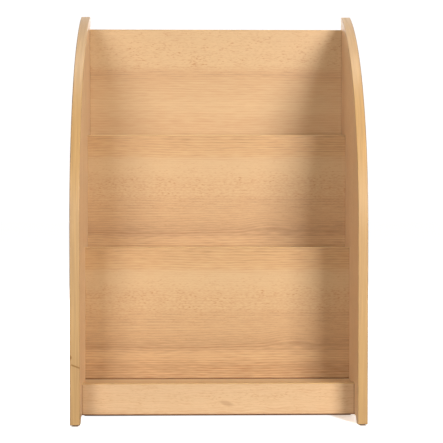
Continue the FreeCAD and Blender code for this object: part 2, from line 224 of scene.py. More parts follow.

# What the decor's tones are multiplied by, piece by piece: mostly painted light, while the plinth
# is printed paler.
NO_TINT = (1, 1, 1)
# Painted light and sheen: the side panels are paler than the boards, the right one most.
SIDE_LIGHT_TINTS = {"left": (1.21, 1.29, 1.46), "right": (1.28, 1.36, 1.54)}
# Partly painted light: the front bands are a little paler, the right one more for the light from
# the right.
FRONT_BAND_TINTS = {"left": (1.03, 1.03, 1.05), "right": (1.07, 1.07, 1.10)}
# Painted light: the ledges are paler for the light from above.
LEDGE_LIGHT_TINT = (1.08, 1.22, 1.44)
PLINTH_TINT = (1.07, 1.08, 1.18)
# Painted highlight: the bands on the boards' upper edges are paler where light from above catches
# them.
BOARD_BAND_LIGHT_TINT = (1.12, 1.15, 1.22)

# Soft lights, aimed at one point: azimuth and elevation in degrees, distance and width in metres,
# the setting that gives the power, and how much of it the light has.
LIGHT_AIM = Vector((0, 0, 0.40))
LIGHTS = (
    ("key_light", 32.8, 11.6, 2.6, 0.95, "key_power", 1.0),
    ("fill_light", -28.1, 5.4, 2.6, 1.0, "fill_power", 1.0),
    ("upper_light", 5, 84, 2.4, 1.0, "upper_power", 1.0),
    ("top_light", 180, 85, 2.4, 1.2, "top_power", 1.0),
    ("rear_light", 180, 35, 2.6, 3.6, "rear_power", 1.0),
    ("rear_fill_light", 180, 4, 2.6, 2.0, "rear_power", 0.4),
    ("left_light", -108, 8, 2.6, 1.4, "side_power", 1.4),
    ("right_light", 108, 8, 2.6, 1.4, "side_power", 1.0),
)

# Zones of the floor, each from where it is clear to where it is full: along Y, but for LIFT_LEFT.
BEFORE_REAR = (cad_box[1].y, cad_box[1].y - 10 * MM)
UNDER_PLINTH = (FRONT + 114 * MM, FRONT + 121 * MM)
BEHIND_FOOT_TIP = (FRONT + 12 * MM, FRONT + 26 * MM)
TIP_SHADE = (FRONT - 10 * MM, FRONT - 3 * MM)
LIFT_FRONT = (FRONT - 10 * MM, FRONT)
LIFT_REAR = (FRONT + 120 * MM, FRONT + 114 * MM)
LIFT_LEFT = (LEFT + 17.5 * MM, LEFT + 167.5 * MM)

# The zones' edges across the unit are this soft, and softer at the tips of the feet.
ZONE_EDGE = 2 * MM
TIP_EDGE = 4 * MM

# The shaded corner beside the right-hand foot is this wide at the origin and widens to the rear.
# Its edge is soft between these shares of the width.
CORNER_WIDTH = 0.0535
CORNER_SPREAD = 0.38
CORNER_EDGE = (1.15, 0.75)

# The floor's half width, its colour of painted shade under the unit, how much of its colour the
# unit meets, how strongly the zone before the plinth shines back at it as painted light, and how
# dark the painted shade before the tips of the feet is.
FLOOR_REACH = 14.0
FLOOR_UNDER_SHADE = (0.42, 0.30, 0.19)
FLOOR_RETURN = 0.12
FLOOR_LIFT = 0.45
TIP_SHADE_COVER = 0.7

# Brightness of the background to the camera, and the width of the camera's sensor in mm.
BACKDROP = 1.05
SENSOR_WIDTH = 36.0


class BeechFaceSettings(PropertyGroup):
    """Printed beech faces of the boards."""

    pale: FloatVectorProperty(
        name="Pale", description="Face colour in the lightest bands",
        subtype="COLOR", min=0, max=1, default=(0.580, 0.367, 0.178))
    warm: FloatVectorProperty(
        name="Warm", description="Face colour in the middle bands",
        subtype="COLOR", min=0, max=1, default=(0.537, 0.309, 0.139))
    dark: FloatVectorProperty(
        name="Dark", description="Face colour in the darkest bands",
        subtype="COLOR", min=0, max=1, default=(0.430, 0.245, 0.109))
    fleck: FloatVectorProperty(
        name="Fleck", description="Colour of the short ray flecks",
        subtype="COLOR", min=0, max=1, default=(0.330, 0.135, 0.044))
    line_width: FloatProperty(
        name="Line Width", description="Width of the fine growth lines",
        unit="LENGTH", min=0.0002, default=0.0024)
    line_length: FloatProperty(
        name="Line Length", description="Length over which a fine line changes",
        unit="LENGTH", min=0.01, default=0.50)
    wander: FloatProperty(
        name="Wander", description="How far the lines stray from straight",
        unit="LENGTH", min=0, default=0.006)
    fleck_width: FloatProperty(
        name="Fleck Width", description="Width of a ray fleck",
        unit="LENGTH", min=0.0002, default=0.0015)
    fleck_length: FloatProperty(
        name="Fleck Length", description="Length of a ray fleck",
        unit="LENGTH", min=0.0005, default=0.0060)
    roughness: FloatProperty(
        name="Roughness", description="Roughness of the satin face",
        subtype="FACTOR", min=0, max=1, default=0.46)


class EdgingSettings(PropertyGroup):
    """Edging bands and what shows beside them."""

    band: FloatVectorProperty(
        name="Band", description="Colour of the edging bands",
        subtype="COLOR", min=0, max=1, default=(0.503, 0.302, 0.119))
    band_line: FloatVectorProperty(
        name="Band Line", description="Colour of the bands' printed lines",
        subtype="COLOR", min=0, max=1, default=(0.420, 0.240, 0.091))
    core: FloatVectorProperty(
        name="Core", description="Chipboard where an edge has no band",
        subtype="COLOR", min=0, max=1, default=(0.42, 0.28, 0.15))
    joint: FloatVectorProperty(
        name="Joint Wood", description="Bare beech of the dowels and biscuits",
        subtype="COLOR", min=0, max=1, default=(0.62, 0.42, 0.24))
    glide: FloatVectorProperty(
        name="Glide", description="Plastic of the glides",
        subtype="COLOR", min=0, max=1, default=(0.045, 0.030, 0.022))
    band_roughness: FloatProperty(
        name="Band Roughness", description="Roughness of the edging bands",
        subtype="FACTOR", min=0, max=1, default=0.34)


class StageSettings(PropertyGroup):
    """Floor, lights and camera."""

    floor: FloatVectorProperty(
        name="Floor", description="Colour of the floor",
        subtype="COLOR", min=0, max=1, default=(0.82, 0.82, 0.815))
    floor_glow: FloatVectorProperty(
        name="Floor Glow", description="Light that the floor shows of its own",
        subtype="COLOR", min=0, max=1, default=(1.0, 1.0, 0.995))
    corner_shade: FloatVectorProperty(
        name="Corner Shade", description="What is left of that light beside the right-hand foot",
        subtype="COLOR", min=0, max=1, default=(0.68, 0.56, 0.47))
    daylight: FloatProperty(
        name="Daylight", description="Strength of the even light from all round",
        subtype="FACTOR", min=0, max=4, default=0.0)
    reflected: FloatProperty(
        name="Reflected", description="Strength of the pale room that satin faces reflect",
        subtype="FACTOR", min=0, max=4, default=0.06)
    key_power: FloatProperty(
        name="Key Power", description="Soft light from the right front",
        unit="POWER", min=0, default=67.5)
    fill_power: FloatProperty(
        name="Fill Power", description="Soft light from the left front",
        unit="POWER", min=0, default=36.5)
    upper_power: FloatProperty(
        name="Upper Power", description="Soft light overhead, a little to the front",
        unit="POWER", min=0, default=14.0)
    top_power: FloatProperty(
        name="Top Power", description="Soft light overhead, a little to the rear",
        unit="POWER", min=0, default=10.0)
    rear_power: FloatProperty(
        name="Rear Power", description="Wide soft light behind the unit, with a weaker low one",
        unit="POWER", min=0, default=50.0)
    side_power: FloatProperty(
        name="Side Power", description="Soft light from the right; the left one is stronger",
        unit="POWER", min=0, default=14.0)
    camera_place: FloatVectorProperty(
        name="Camera Place", description="Where the camera stands",
        subtype="TRANSLATION", unit="LENGTH", default=(-0.0544, -2.6624, 0.4327))
    camera_yaw: FloatProperty(
        name="Camera Yaw", description="Turn of the camera to the right",
        unit="ROTATION", default=math.radians(1.335))
    camera_pitch: FloatProperty(
        name="Camera Pitch", description="Dip of the camera",
        unit="ROTATION", default=math.radians(1.49))
    lens: FloatProperty(
        name="Lens", description="Focal length on a 36 mm sensor",
        unit="CAMERA", min=1, default=114.32)


class Graph:
    """A material's nodes, added and linked in one call each."""

    def __init__(self, name):
        self.material = bpy.data.materials.new(name)
        self.material.use_nodes = True
        self.nodes = self.material.node_tree.nodes
        self.links = self.material.node_tree.links
        self.nodes.clear()

    def add(self, kind, inputs=None, **settings):
        """Add a node. inputs maps a socket's name or number to a value or an output socket."""
        node = self.nodes.new("ShaderNode" + kind)
        for key, value in settings.items():
            setattr(node, key, value)
        for key, value in (inputs or {}).items():
            if isinstance(value, bpy.types.NodeSocket):
                self.links.new(value, node.inputs[key])
            else:
                node.inputs[key].default_value = value
        return node

    def math(self, operation, first, second=0.0, third=0.0, clamp=False):
        """The result of a Math node."""
        inputs = {0: first, 1: second, 2: third}
        return self.add("Math", inputs, operation=operation, use_clamp=clamp).outputs[0]

    def dot(self, vector, direction):
        """How far a vector reaches along a fixed direction."""
        node = self.add("VectorMath", {0: vector, 1: direction}, operation="DOT_PRODUCT")
        return node.outputs["Value"]

    def join(self, x, y, z):
        """A vector from three numbers."""
        return self.add("CombineXYZ", {0: x, 1: y, 2: z}).outputs[0]

    def noise(self, vector, detail=2.0, roughness=0.5, scale=1.0):
        """Noise at a vector, about 0.5."""
        inputs = {"Vector": vector, "Scale": scale, "Detail": detail, "Roughness": roughness}
        return self.add("TexNoise", inputs).outputs["Fac"]

    def grained(self, run, spread, size, seed, detail=2.0):
        """Noise drawn out to a length along the grain and a width across it."""
        vector = self.join(
            self.math("DIVIDE", run, size[0]), self.math("DIVIDE", spread, size[1]), seed)
        return self.noise(vector, detail=detail)

    def step(self, value, low, high, to_low=0.0, to_high=1.0):
        """Smooth rise from to_low to to_high as value goes from low to high."""
        inputs = {"Value": value, 1: low, 2: high, 3: to_low, 4: to_high}
        node = self.add("MapRange", inputs, interpolation_type="SMOOTHSTEP")
        return node.outputs["Result"]

    def ramp(self, value, stops):
        """A Color Ramp over stops of position and colour."""
        node = self.add("ValToRGB", {"Fac": value})
        elements = node.color_ramp.elements
        while len(elements) < len(stops):
            elements.new(1.0)
        for element, (position, colour) in zip(elements, stops):
            element.position = position
            element.color = (*colour, 1.0)
        return node.outputs["Color"]

    def mix(self, factor, first, second, blend="MIX"):
        """A colour between two."""
        node = self.add("Mix", data_type="RGBA", blend_type=blend)
        for key, value in ((0, factor), (6, first), (7, second)):
            if isinstance(value, bpy.types.NodeSocket):
                self.links.new(value, node.inputs[key])
            else:
                node.inputs[key].default_value = value if key == 0 else (*value, 1.0)
        return node.outputs[2]

    def bump(self, height, distance, strength):
        """A normal from a height of 0 to 1 that stands for a distance."""
        inputs = {"Height": height, "Distance": distance, "Strength": strength}
        return self.add("Bump", inputs).outputs["Normal"]

    def finish(self, colour, roughness, normal):
        """End in a Principled shader."""
        inputs = {"Base Color": colour, "Roughness": roughness, "Normal": normal}
        shader = self.add("BsdfPrincipled", inputs)
        self.add("OutputMaterial", {"Surface": shader.outputs[0]})
        return self.material


def scaled(colour, by):
    """A colour times a number, no brighter than white."""
    return [min(1.0, part * by) for part in colour]


def tinted(colour, tint):
    """A colour times another."""
    return [part * by for part, by in zip(colour, tint)]


def place_of(graph):
    """A point's place in the unit's own frame."""
    return graph.add("TexCoord").outputs["Object"]


def chipboard(graph, place):
    """Colour of bare chipboard: pressed chips of several sizes."""
    core = bpy.context.scene.edging_looks.core
    chips = graph.add("TexVoronoi", {"Vector": place, "Scale": CHIP_SCALE}, feature="F1")
    fine = graph.noise(place, detail=3.0, scale=900.0)
    shade = graph.dot(chips.outputs["Color"], (0.4, 0.3, 0.3))
    tone = graph.math("MULTIPLY_ADD", shade, 0.7, fine)
    return graph.mix(graph.step(tone, 0.45, 1.15), scaled(core, 0.55), scaled(core, 1.45))


def decor_at(graph, distance, decor):
    """Depth of tone, strength of the lines and strength of the flecks at a distance in mm."""
    stops = [(row[0] / DECOR_REPEAT, row[1:]) for row in decor]
    channels = graph.ramp(graph.math("DIVIDE", distance, DECOR_REPEAT), stops)
    return graph.add("SeparateColor", {"Color": channels}).outputs


def growth_lines(graph, run, drift, slow, seed):
    """Growth lines about 0: rings at an even pitch, long lines, and finer ones that come and go."""
    looks = bpy.context.scene.beech_looks
    across = graph.math("DIVIDE", drift, looks.line_width)
    long_lines = graph.noise(graph.join(
        graph.math("DIVIDE", run, looks.line_length), across, seed + 3), detail=1.0)
    fine_lines = graph.noise(graph.join(
        graph.math("DIVIDE", run, looks.line_length * FINE_LINE_LENGTH),
        graph.math("MULTIPLY", across, FINE_LINE_PITCH), seed + 7))
    turn = graph.math("MULTIPLY_ADD", slow, RING_DRIFT, graph.math("MULTIPLY", across, math.pi))
    rings = graph.math("MULTIPLY", graph.math("SINE", turn), RING_STRENGTH)
    lined = graph.math(
        "MULTIPLY_ADD", graph.math("SUBTRACT", long_lines, 0.5), LONG_LINE_STRENGTH,
        graph.math("SUBTRACT", fine_lines, 0.5))
    return graph.math("ADD", lined, rings)


def ray_flecks(graph, run, spread, flecks, seed):
    """A stipple of short dashes along the grain, and the dark flecks among them."""
    looks = bpy.context.scene.beech_looks
    dashes = graph.grained(
        run, spread, (looks.fleck_length, looks.fleck_width), seed + 11, detail=1.5)
    cloud = graph.grained(run, spread, FLECK_CLOUDS, seed + 13)
    gathered = graph.step(cloud, *CLOUD_FADE, STRAY_FLECKS, 1.0)
    dark = graph.math("MULTIPLY", graph.step(dashes, *DASH_FADE), gathered)
    share = graph.math("MULTIPLY_ADD", flecks, FLECK_GAIN, STRAY_FLECKS)
    dark = graph.math("MULTIPLY", dark, share)
    stipple = graph.math("MULTIPLY", graph.math("SUBTRACT", dashes, 0.5), flecks)
    return stipple, dark


def beech_tones(graph, depth, tint):
    """Colour of the printed face at a depth of tone."""
    looks = bpy.context.scene.beech_looks
    half = graph.math("MULTIPLY", graph.math("ADD", depth, DEPTH_BELOW), 0.5, clamp=True)
    tones = [tinted(colour, tint) for colour in (looks.pale, looks.warm, looks.dark, looks.fleck)]
    palest = scaled(tones[0], PALEST)
    return graph.ramp(half, list(zip((0.0, *TONE_STOPS, 1.0), (palest, *tones))))


def edge_marks(graph, place, colour, seam, foot, knot):
    """The face's colour with its knot and its lines of painted shade, where it has them."""
    if knot is not None:
        colour = graph.mix(knot_mark(graph, place, knot), colour, KNOT_TONE)
    if seam is not None:
        width, strength = seam
        reach = graph.math("ABSOLUTE", graph.dot(place, RIGHT))
        line = graph.step(reach, BOARD_END - width, BOARD_END - SEAM_FULL * width, 0.0, strength)
        colour = graph.mix(line, colour, SEAM_SHADE_TONE)
    if foot is not None:
        direction, level, width, strength = foot
        away = graph.math("SUBTRACT", graph.dot(place, direction), level)
        line = graph.step(away, FOOT_FULL * width, width, strength, 0.0)
        colour = graph.mix(line, colour, FOOT_SHADE_TONE)
    return colour


def beech_face(name, along, across, start, decor, thickness, seed, tint=NO_TINT, seam=None,
               arched=False, waves=0.0, foot=None, knot=None):
    """Printed beech face. The grain runs in the direction along, and the decor's bands lie across
    it from the point start. thickness is the direction through the board: a face that doesn't
    look that way is bare chipboard.

    seam is the width and the strength of the painted shade line at each end, where the board meets
    a side panel. arched sweeps one group of lines up, and waves is how far short waves carry the
    lines. foot is a painted shade line along one edge: the direction away from that edge, its level
    in this direction, and the line's width and strength. knot is the middle of a small knot."""
    looks = bpy.context.scene.beech_looks
    graph = Graph(name)
    place = place_of(graph)
    from_start = graph.add(
        "VectorMath", {0: place, 1: start}, operation="SUBTRACT").outputs["Vector"]
    run = graph.dot(from_start, along)
    spread = graph.dot(from_start, across)

    # The bands wander slowly along the grain. Arches and short waves only bend the lines.
    slow = graph.grained(run, spread, SLOW_BANDS, seed, detail=1.0)
    wander = graph.math("MULTIPLY", graph.math("SUBTRACT", slow, 0.5), looks.wander)
    drift = graph.math("ADD", spread, wander)
    distance = graph.math("PINGPONG", graph.math("DIVIDE", drift, MM), DECOR_REPEAT)
    depth, lines, flecks = decor_at(graph, distance, decor)
    if arched:
        rise = graph.step(run, *ARCH_RUN, 0.0, ARCH_RISE)
        inside = graph.math(
            "MULTIPLY", graph.step(spread, *ARCH_TOP), graph.step(spread, *ARCH_FOOT))
        drift = graph.math("MULTIPLY_ADD", rise, inside, drift)
    if waves:
        short = graph.grained(run, spread, SHORT_WAVES, seed + 19)
        drift = graph.math("MULTIPLY_ADD", graph.math("SUBTRACT", short, 0.5), waves, drift)

    lined = growth_lines(graph, run, drift, slow, seed)
    depth = graph.math("MULTIPLY_ADD", graph.math("MULTIPLY", lined, lines), LINE_CONTRAST, depth)
    stipple, fleck = ray_flecks(graph, run, spread, flecks, seed)
    depth = graph.math("MULTIPLY_ADD", stipple, STIPPLE_CONTRAST, depth)

    colour = beech_tones(graph, depth, tint)
    colour = graph.mix(graph.math("MULTIPLY", fleck, FLECK_COVER), colour, FLECK_TONE)
    yellower = graph.math(
        "MULTIPLY", graph.step(lines, *YELLOW_LINES), graph.step(distance, *YELLOW_FADE))
    colour = graph.mix(yellower, colour, YELLOW_TONE, "MULTIPLY")

    # Faint broad changes of tone, each some 200 mm long and 70 mm wide.
    mottle = graph.grained(run, spread, MOTTLES, seed + 17, detail=1.0)
    colour = graph.mix(graph.step(mottle, *MOTTLE_FADE, 0.0, MOTTLE_COVER), colour, MOTTLE_TONE)
    colour = edge_marks(graph, place, colour, seam, foot, knot)

    # What isn't a face of the board is a rough cut through its chips.
    facing = graph.math("ABSOLUTE", graph.dot(
        graph.add("NewGeometry").outputs["True Normal"], thickness))
    printed = graph.step(facing, *PRINTED_TURN)
    cut = graph.math("SUBTRACT", 1.0, printed)
    colour = graph.mix(printed, chipboard(graph, place), colour)
    relief = graph.math("MULTIPLY_ADD", fleck, -0.8, graph.math("MULTIPLY", lined, 0.3))
    chips = graph.noise(place, detail=3.0, scale=700.0)
    height = graph.math("ADD", graph.math("MULTIPLY", relief, printed),
                        graph.math("MULTIPLY", chips, cut))
    satin = graph.math("MULTIPLY_ADD", mottle, 0.08, looks.roughness - 0.04)
    roughness = graph.math("ADD", graph.math("MULTIPLY", satin, printed),
                           graph.math("MULTIPLY", CHIPBOARD_ROUGHNESS, cut))
    return graph.finish(colour, roughness, graph.bump(height, BOARD_RELIEF, 0.55))


def knot_mark(graph, place, middle):
    """How strongly a small faint knot shows, drawn out along the grain."""
    reach = []
    for direction, half in zip((KNOT_ALONG, KNOT_OVER), KNOT_HALVES):
        part = graph.math("SUBTRACT", graph.dot(place, direction), middle.dot(direction))
        part = graph.math("DIVIDE", part, half)
        reach.append(graph.math("MULTIPLY", part, part))
    faded = graph.step(graph.math("ADD", *reach), 1.0, 0.0)
    return graph.math("MULTIPLY", KNOT_COVER, graph.math("MULTIPLY", faded, faded))


def edging_band(name, across, seed, tint=NO_TINT, worn=False, corner=None):
    """Printed edging band. Its lines run round the edge, and across is the direction over it.
    corner is how far from the middle the outer corner lies, which is darkened with painted shade."""
    looks = bpy.context.scene.edging_looks
    graph = Graph(name)
    place = place_of(graph)
    over = graph.math("DIVIDE", graph.dot(place, across), BAND_LINE_WIDTH)
    round_edge = Vector((1, 1, 1)) - Vector([abs(part) for part in across])
    run = graph.math("DIVIDE", graph.dot(place, round_edge), BAND_LINE_LENGTH)
    fine = graph.noise(graph.join(over, run, seed), detail=3.0, roughness=0.6)
    slow = graph.noise(graph.join(
        graph.math("MULTIPLY", over, 0.22), graph.math("MULTIPLY", run, 0.6), seed + 5), detail=1.0)
    lined = graph.math("MULTIPLY_ADD", slow, 0.6, graph.math("MULTIPLY", fine, 0.7))
    band, band_line = tinted(looks.band, tint), tinted(looks.band_line, tint)
    colour = graph.mix(graph.step(lined, 0.42, 0.92), band, band_line)
    colour = graph.mix(graph.step(fine, 0.50, 0.30, 0.0, 0.6), colour, scaled(band, 1.10))
    speck = graph.noise(place, detail=1.0, scale=1500.0)
    colour = graph.mix(graph.step(speck, 0.62, 0.75, 0.0, 0.12), colour, band_line)
    # Painted shade on the rounded outer corner.
    if corner is not None:
        reach = graph.math("ABSOLUTE", graph.dot(place, across))
        arris_shade = graph.step(
            reach, corner - ARRIS_SHADE_FROM, corner - ARRIS_SHADE_FULL, 0.0, ARRIS_SHADE_COVER)
        colour = graph.mix(arris_shade, colour, ARRIS_SHADE_TONE)
    if worn:
        colour = graph.mix(worn_places(graph, place), colour, WORN_TONE)
    height = graph.math("MULTIPLY_ADD", speck, 0.35, fine)
    roughness = graph.step(slow, 0.2, 0.8, looks.band_roughness - 0.05, looks.band_roughness + 0.08)
    return graph.finish(colour, roughness, graph.bump(height, BAND_RELIEF, 0.5))


def worn_places(graph, place):
    """Where the left front band has a slanting butt joint with a crack and a small dent."""
    along = (JOINT_INNER - JOINT_OUTER).normalized()
    beside = Vector((-along.z, 0, along.x))
    apart = graph.math("ABSOLUTE", graph.math(
        "SUBTRACT", graph.dot(place, beside), JOINT_OUTER.dot(beside)))
    passed = graph.math("SUBTRACT", graph.dot(place, along), JOINT_OUTER.dot(along))
    joint = graph.math("MULTIPLY", graph.step(apart, *JOINT_WIDTH, 1.0, 0.0),
                       graph.step(passed, 0.0, 4 * MM, 0.0, JOINT_COVER))
    up_from = graph.math("SUBTRACT", graph.dot(place, UP), JOINT_OUTER.z)
    crack = graph.math("ABSOLUTE", graph.math(
        "SUBTRACT", graph.dot(place, Vector((1, 0, CRACK_LEAN))),
        CRACK_FOOT + CRACK_LEAN * JOINT_OUTER.z))
    crack = graph.math("MULTIPLY", graph.step(crack, *CRACK_WIDTH, CRACK_COVER, 0.0),
                       graph.step(up_from, CRACK_HEIGHT, 0.0))
    crack = graph.math("MULTIPLY", crack, graph.step(up_from, -1 * MM, 0.0))
    gap = graph.add(
        "VectorMath", {0: place, 1: DENT_MIDDLE}, operation="DISTANCE").outputs["Value"]
    dent = graph.step(gap, *DENT_WIDTH, 1.0, 0.0)
    return graph.math("MAXIMUM", graph.math("MAXIMUM", joint, crack), dent)


def bare_beech(name):
    """Turned and sawn beech of the dowels and biscuits, with its grain along the joint."""
    joint = bpy.context.scene.edging_looks.joint
    graph = Graph(name)
    place = place_of(graph)
    stretched = graph.add("VectorMath", {0: place, 1: (90, 700, 700)}, operation="MULTIPLY")
    grain = graph.noise(stretched.outputs["Vector"], detail=4.0, roughness=0.6)
    colour = graph.mix(graph.step(grain, 0.3, 0.7), scaled(joint, 1.2), scaled(joint, 0.7))
    return graph.finish(colour, 0.7, graph.bump(grain, 0.08 * MM, 0.6))


def glide_plastic(name):
    """Moulded plastic with a fine grain and a little dust on it."""
    glide = bpy.context.scene.edging_looks.glide
    graph = Graph(name)
    place = place_of(graph)
    grain = graph.noise(place, scale=1400.0)
    dust = graph.noise(place, detail=3.0, scale=300.0)
    colour = graph.mix(graph.step(dust, 0.45, 0.75, 0.0, 0.5), glide, scaled(glide, 2.6))
    return graph.finish(colour, graph.step(dust, 0.3, 0.7, 0.45, 0.7),
                        graph.bump(grain, 0.05 * MM, 0.5))


def shaded_floor(graph, right, rear):
    """Where the floor gets painted shade: under the unit, before the tips of the feet and beside
    the right-hand foot.
    """
    beside = graph.math("ABSOLUTE", right)
    inner_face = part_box("right_side_panel")[0].x
    outer_face = cad_box[1].x
    before_rear = graph.step(rear, *BEFORE_REAR)
    under = graph.math("MULTIPLY", graph.step(rear, *UNDER_PLINTH), before_rear)
    under = graph.math("MULTIPLY", under, graph.step(beside, inner_face + ZONE_EDGE, inner_face))

    beyond_tip = graph.step(rear, *BEHIND_FOOT_TIP)
    width = graph.math("MULTIPLY_ADD", rear, CORNER_SPREAD, CORNER_WIDTH)
    corner = graph.math("DIVIDE", graph.math("SUBTRACT", inner_face, right),
                        graph.math("MAXIMUM", width, 0.5 * MM))
    corner = graph.math("MULTIPLY", graph.step(corner, *CORNER_EDGE), graph.math(
        "MULTIPLY", beyond_tip, graph.step(beside, outer_face, outer_face - ZONE_EDGE)))
    corner = graph.math("MULTIPLY", corner, before_rear)

    tip = graph.math("MULTIPLY", graph.step(rear, *TIP_SHADE, 0.0, TIP_SHADE_COVER),
                     graph.math("SUBTRACT", 1.0, beyond_tip))
    tip = graph.math("MULTIPLY", tip, graph.math(
        "MULTIPLY", graph.step(beside, inner_face, inner_face + TIP_EDGE),
        graph.step(beside, outer_face, outer_face - TIP_EDGE)))
    return graph.math("MAXIMUM", under, tip), corner


def lifted_floor(graph, right, rear):
    """Where the floor throws some light back at the foot of the plinth."""
    inner_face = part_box("right_side_panel")[0].x
    across = graph.math("MULTIPLY", graph.step(right, *LIFT_LEFT),
                        graph.step(right, inner_face + ZONE_EDGE, inner_face))
    return graph.math("MULTIPLY", across, graph.math(
        "MULTIPLY", graph.step(rear, *LIFT_FRONT), graph.step(rear, *LIFT_REAR)))


def pale_floor(name):
    """A floor that the camera sees as nearly white, while the unit meets a much darker one."""
    looks = bpy.context.scene.stage_looks
    graph = Graph(name)
    place = place_of(graph)
    right, rear = graph.dot(place, RIGHT), graph.dot(place, REAR)
    seen = graph.add("LightPath").outputs["Is Camera Ray"]
    under, corner = shaded_floor(graph, right, rear)
    lit = graph.math("MULTIPLY", seen, graph.math("SUBTRACT", 1.0, under))
    lift = graph.math("MULTIPLY", graph.math("SUBTRACT", 1.0, seen),
                      lifted_floor(graph, right, rear))
    glow = graph.add("Emission", {
        "Color": graph.mix(corner, looks.floor_glow, looks.corner_shade),
        "Strength": graph.math("MULTIPLY_ADD", lift, FLOOR_LIFT, lit)})
    colour = graph.mix(seen, scaled(looks.floor, FLOOR_RETURN), looks.floor)
    # Painted shade: under the unit the floor's colour turns dark brown.
    matt = graph.add("BsdfDiffuse", {"Color": graph.mix(under, colour, FLOOR_UNDER_SHADE)})
    both = graph.add("AddShader", {0: matt.outputs[0], 1: glow.outputs[0]})
    graph.add("OutputMaterial", {"Surface": both.outputs[0]})
    return graph.material


def give(node, material):
    """Finish a CAD node."""
    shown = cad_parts[node]
    shown.data.materials.clear()
    shown.data.materials.append(material)


def top_of(node):
    """Middle of a board's upper edge."""
    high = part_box(node)[1]
    return Vector((0, high.y, high.z))


class DISPLAY_OT_side_panels(Operator):
    """Face the side panels in beech with upright grain."""

    bl_idname = "display.side_panels"
    bl_label = "Side Panels"

    def execute(self, context):
        for seed, hand in enumerate(("left", "right")):
            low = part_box(f"{hand}_side_panel")[0]
            # The side panels' tints are painted light and sheen, the right one more.
            give(f"{hand}_side_panel", beech_face(
                f"beech_{hand}_side", UP, REAR, Vector((0, low.y, low.z)), SIDE_DECOR, RIGHT,
                41.3 + 9 * seed, tint=SIDE_LIGHT_TINTS[hand]))
        return {"FINISHED"}


class DISPLAY_OT_side_edgings(Operator):
    """Band the edges of the side panels."""

    bl_idname = "display.side_edgings"
    bl_label = "Side Edgings"

    def execute(self, context):
        for seed, hand in enumerate(("left", "right")):
            # The right front band's tint adds painted light. Both front bands get painted shade on
            # their outer corners.
            give(f"{hand}_front_edging", edging_band(
                f"{hand}_front_band", RIGHT, 3.1 + 5 * seed, tint=FRONT_BAND_TINTS[hand],
                worn=hand == "left", corner=cad_box[1].x))
            give(f"{hand}_rear_edging", edging_band(f"{hand}_rear_band", RIGHT, 15.7 + 5 * seed))
        return {"FINISHED"}


class DISPLAY_OT_tier_boards(Operator):
    """Face the back board, the backrests and the ledges in beech with level grain."""

    bl_idname = "display.tier_boards"
    bl_label = "Tier Boards"

    def execute(self, context):
        # Painted shade line at the foot of the lower backrest, where it stands on the base shelf.
        backrest_foot_shade = (UP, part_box("base_shelf")[1].z, *BACKREST_FOOT)
        for tier, shift, foot in (("middle", 0.0, None), ("lower", LOWER_SHIFT, backrest_foot_shade)):
            start = top_of(f"{tier}_backrest_edging") + RIGHT * shift
            give(f"{tier}_backrest", beech_face(
                f"beech_{tier}_backrest", RIGHT, -UP, start, BACKREST_DECOR, REAR, 5.2,
                seam=BACKREST_SEAM, arched=True, foot=foot))
        give("back_board", beech_face(
            "beech_back_board", RIGHT, -UP, top_of("back_board_edging"), BACK_DECOR, REAR, 23.4,
            seam=BACK_SEAM))
        # Painted shade line along the base shelf's rear, at the lower backrest.
        shelf_rear_shade = (-REAR, -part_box("lower_backrest")[0].y, *SHELF_FOOT)
        # The ledges' tint is painted light from above.
        for seed, ledge in enumerate(("base_shelf", "middle_ledge", "top_ledge")):
            low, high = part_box(ledge)
            give(ledge, beech_face(
                f"beech_{ledge}", RIGHT, REAR, Vector((0, low.y, high.z)), BACKREST_DECOR, UP,
                61.9 + 7 * seed, tint=LEDGE_LIGHT_TINT,
                foot=shelf_rear_shade if ledge == "base_shelf" else None))
        return {"FINISHED"}


class DISPLAY_OT_plinth(Operator):
    """Face the plinth in the same beech, printed paler."""

    bl_idname = "display.plinth"
    bl_label = "Plinth"

    def execute(self, context):
        # The lines at the plinth's ends and along its bottom edge are painted shade.
        give("plinth", beech_face(
            "beech_plinth", RIGHT, -UP, top_of("plinth_edging"), PLINTH_DECOR, REAR, 83.6,
            tint=PLINTH_TINT, seam=PLINTH_SEAM, waves=PLINTH_WAVES,
            foot=(UP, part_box("plinth")[0].z, *PLINTH_FOOT), knot=KNOT_MIDDLE))
        return {"FINISHED"}


class DISPLAY_OT_board_edgings(Operator):
    """Band the upper edges of the back board, the backrests and the plinth."""

    bl_idname = "display.board_edgings"
    bl_label = "Board Edgings"

    def execute(self, context):
        for seed, board in enumerate(("plinth", "lower_backrest", "middle_backrest", "back_board")):
            # The bands' tint is a painted highlight on their tops.
            give(f"{board}_edging", edging_band(
                f"{board}_band", REAR, 31.8 + 6 * seed, tint=BOARD_BAND_LIGHT_TINT))
        return {"FINISHED"}


class DISPLAY_OT_joints(Operator):
    """Finish the dowels and biscuits that join the boards to the side panels."""

    bl_idname = "display.joints"
    bl_label = "Dowels and Biscuits"

    def execute(self, context):
        wood = bare_beech("bare_beech")
        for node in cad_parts:
            if node.endswith(("_dowels", "_biscuits")):
                give(node, wood)
        return {"FINISHED"}


class DISPLAY_OT_glides(Operator):
    """Finish the four glides under the side panels."""

    bl_idname = "display.glides"
    bl_label = "Glides"

    def execute(self, context):
        plastic = glide_plastic("glide_plastic")
        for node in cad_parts:
            if node.endswith("_glide"):
                give(node, plastic)
        return {"FINISHED"}


def soft_light(name, azimuth, elevation, distance, width, power):
    """A square soft light that faces LIGHT_AIM. Azimuth turns from the front to the right."""
    turn, rise = math.radians(azimuth), math.radians(elevation)
    level = math.cos(rise)
    away = Vector((math.sin(turn) * level, -math.cos(turn) * level, math.sin(rise)))
    lamp = bpy.data.lights.new(name, "AREA")
    lamp.shape = "SQUARE"
    lamp.size = width
    lamp.energy = power
    item = bpy.data.objects.new(name, lamp)
    bpy.context.scene.collection.objects.link(item)
    item.location = LIGHT_AIM + away * distance
    item.rotation_euler = away.to_track_quat("Z", "Y").to_euler()
    item.visible_camera = False


